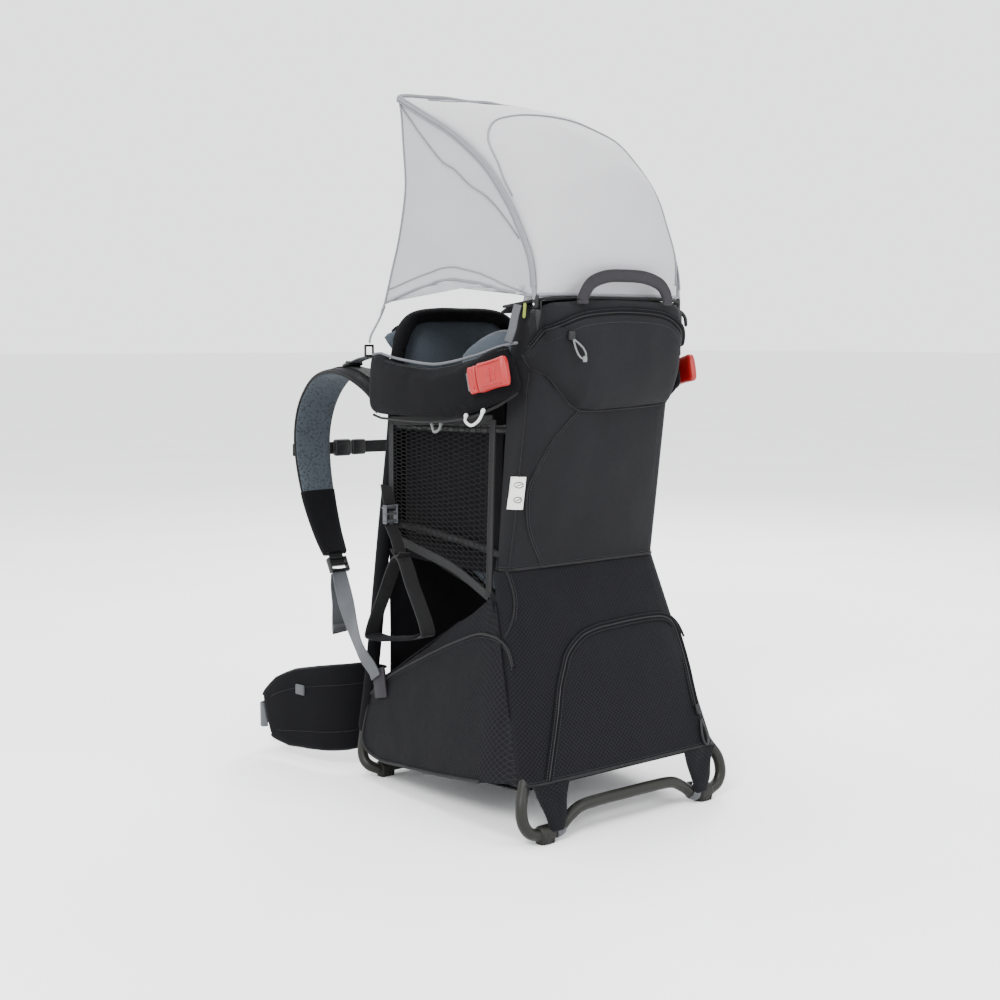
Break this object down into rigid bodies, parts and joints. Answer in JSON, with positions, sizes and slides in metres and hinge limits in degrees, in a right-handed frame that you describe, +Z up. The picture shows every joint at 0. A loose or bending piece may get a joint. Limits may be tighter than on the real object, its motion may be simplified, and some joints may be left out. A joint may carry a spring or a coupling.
{
  "type": "framed child carrier backpack",
  "caption": "Framed child carrier backpack with a fold-out stand, padded cockpit, stirrups, zipped storage, wearer's harness and hipbelt, and a hooped sunshade.",
  "frame": {"origin": "on the ground, under the middle of the whole carrier as it stands", "axes": "+X to the wearer's right, +Y the way the wearer faces, +Z up"},
  "size_m": [0.4604, 0.649, 1.0067],
  "materials": {
    "frame_tube": "dark olive-grey powder coat, satin",
    "foot_rubber": "dull moulded rubber",
    "black_plastic": "fine-textured moulded nylon",
    "pin_steel": "plain turned pin",
    "pack_fabric": "charcoal woven nylon, a small diamond ripstop on the lower pack",
    "strap_fabric": "charcoal stretch cover with a grey spacer mesh inner face",
    "pad_fabric": "slate brushed knit over foam",
    "mesh_fabric": "open hexagonal knitted mesh",
    "grey_webbing": "dark grey nylon webbing, flat woven",
    "black_webbing": "black nylon webbing",
    "grey_plastic": "grey moulded plastic",
    "red_plastic": "coral red moulded acetal, slight gloss",
    "shade_fabric": "pale grey thin woven polyester, slightly translucent",
    "shade_hoop": "pale grey fabric-covered fibre rod",
    "white_cord": "braided cord"
  },
  "bodies": {
    "carrier_frame": {"front_frame": "frame_tube", "rear_hoop": "frame_tube", "upper_rails": "frame_tube", "lower_rails": "frame_tube", "front_foot_caps": "foot_rubber", "pivot_hubs": "black_plastic", "hipbelt_socket": "black_plastic", "hipbelt_adjuster": "black_plastic", "canopy_sockets": "black_plastic", "stirrup_locks": "black_plastic", "pivot_pins": "pin_steel", "rear_panel": "pack_fabric", "top_panel": "pack_fabric", "top_pocket": "pack_fabric", "cockpit_pad_left": "pack_fabric", "cockpit_pad_right": "pack_fabric", "storage_bag": "pack_fabric", "storage_deck": "pack_fabric", "hipbelt_left": "pack_fabric", "hipbelt_right": "pack_fabric", "cockpit_pad_front": "pad_fabric", "head_wings": "pad_fabric", "back_panel": "pad_fabric", "lumbar_pad": "pad_fabric", "side_mesh_left": "mesh_fabric", "side_mesh_right": "mesh_fabric", "hipbelt_webbing": "grey_webbing", "load_lifters": "grey_webbing", "lower_straps": "grey_webbing", "strap_anchors": "grey_webbing", "release_buckles": "red_plastic", "gear_loops": "white_cord"},
    "stand": {"kickstand": "frame_tube", "rear_foot_caps": "foot_rubber", "storage_door": "pack_fabric", "stand_gussets": "pack_fabric", "gusset_clips": "grey_plastic"},
    "storage_zip": {"storage_zip_pull": "grey_plastic"},
    "top_zip": {"top_zip_pull": "grey_plastic"},
    "belt_clip": {"hipbelt_clip": "black_plastic"},
    "harness": {"harness_yoke": "strap_fabric", "shoulder_strap_left": "strap_fabric", "shoulder_strap_right": "strap_fabric", "ladder_locks": "black_plastic"},
    "chest_strap": {"sternum_strap": "grey_webbing", "sternum_socket": "black_plastic"},
    "chest_clip": {"sternum_clip": "black_plastic"},
    "sunshade": {"canopy_roof": "shade_fabric", "canopy_curtains": "shade_fabric", "canopy_hoops": "shade_hoop", "canopy_ties": "shade_fabric"},
    "carry_handle": {"grab_handle": "grey_webbing"},
    "foot_loop_left": {"stirrup_left": "grey_webbing"},
    "foot_loop_right": {"stirrup_right": "grey_webbing"},
    "tongue_left": {"release_tongue_left": "red_plastic"},
    "tongue_right": {"release_tongue_right": "red_plastic"},
    "seat": {"seat_back": "pad_fabric", "seat_base": "pad_fabric", "child_harness": "black_webbing", "child_buckle": "black_plastic"}
  },
  "joints": [
    {"name": "stand_fold", "type": "hinge", "parent": "carrier_frame", "child": "stand", "pos_m": [0, -0.2005, 0.352], "axis": [1, 0, 0], "range_deg": [0, 46], "deforming": ["storage_bag"]},
    {"name": "storage_zip_travel", "type": "slide", "parent": "stand", "child": "storage_zip", "axis": [0, 0.337, 0.9415], "range_m": [0, 0.085]},
    {"name": "top_zip_travel", "type": "hinge", "parent": "carrier_frame", "child": "top_zip", "pos_m": [0, -0.3005, 0.521], "axis": [0, 1, 0], "range_deg": [0, 70]},
    {"name": "hipbelt_release", "type": "slide", "parent": "carrier_frame", "child": "belt_clip", "axis": [1, 0, 0], "range_m": [0, 0.03]},
    {"name": "harness_height", "type": "slide", "parent": "carrier_frame", "child": "harness", "axis": [0, 0, 1], "range_m": [-0.03, 0.04], "deforming": ["load_lifters", "lower_straps"]},
    {"name": "chest_strap_height", "type": "slide", "parent": "harness", "child": "chest_strap", "axis": [0, 0, 1], "range_m": [-0.02, 0.025]},
    {"name": "chest_strap_release", "type": "slide", "parent": "chest_strap", "child": "chest_clip", "axis": [1, 0, 0], "range_m": [0, 0.024]},
    {"name": "sunshade_tilt", "type": "hinge", "parent": "carrier_frame", "child": "sunshade", "pos_m": [0, -0.2675, 0.7], "axis": [1, 0, 0], "range_deg": [0, 10]},
    {"name": "carry_handle_flop", "type": "hinge", "parent": "carrier_frame", "child": "carry_handle", "pos_m": [0, -0.3005, 0.7035], "axis": [1, 0, 0], "range_deg": [0, 60]},
    {"name": "foot_loop_left_swing", "type": "hinge", "parent": "carrier_frame", "child": "foot_loop_left", "pos_m": [-0.15, 0.0395, 0.386], "axis": [1, 0, 0], "range_deg": [-15, 0]},
    {"name": "foot_loop_right_swing", "type": "hinge", "parent": "carrier_frame", "child": "foot_loop_right", "pos_m": [0.15, 0.0395, 0.386], "axis": [1, 0, 0], "range_deg": [-15, 0]},
    {"name": "release_left", "type": "slide", "parent": "carrier_frame", "child": "tongue_left", "axis": [-0.1019, 0.969, -0.225], "range_m": [0, 0.03]},
    {"name": "release_right", "type": "slide", "parent": "carrier_frame", "child": "tongue_right", "axis": [0.1019, 0.969, -0.225], "range_m": [0, 0.03]},
    {"name": "seat_height", "type": "slide", "parent": "carrier_frame", "child": "seat", "axis": [0, 0, 1], "range_m": [-0.025, 0.03]}
  ]
}
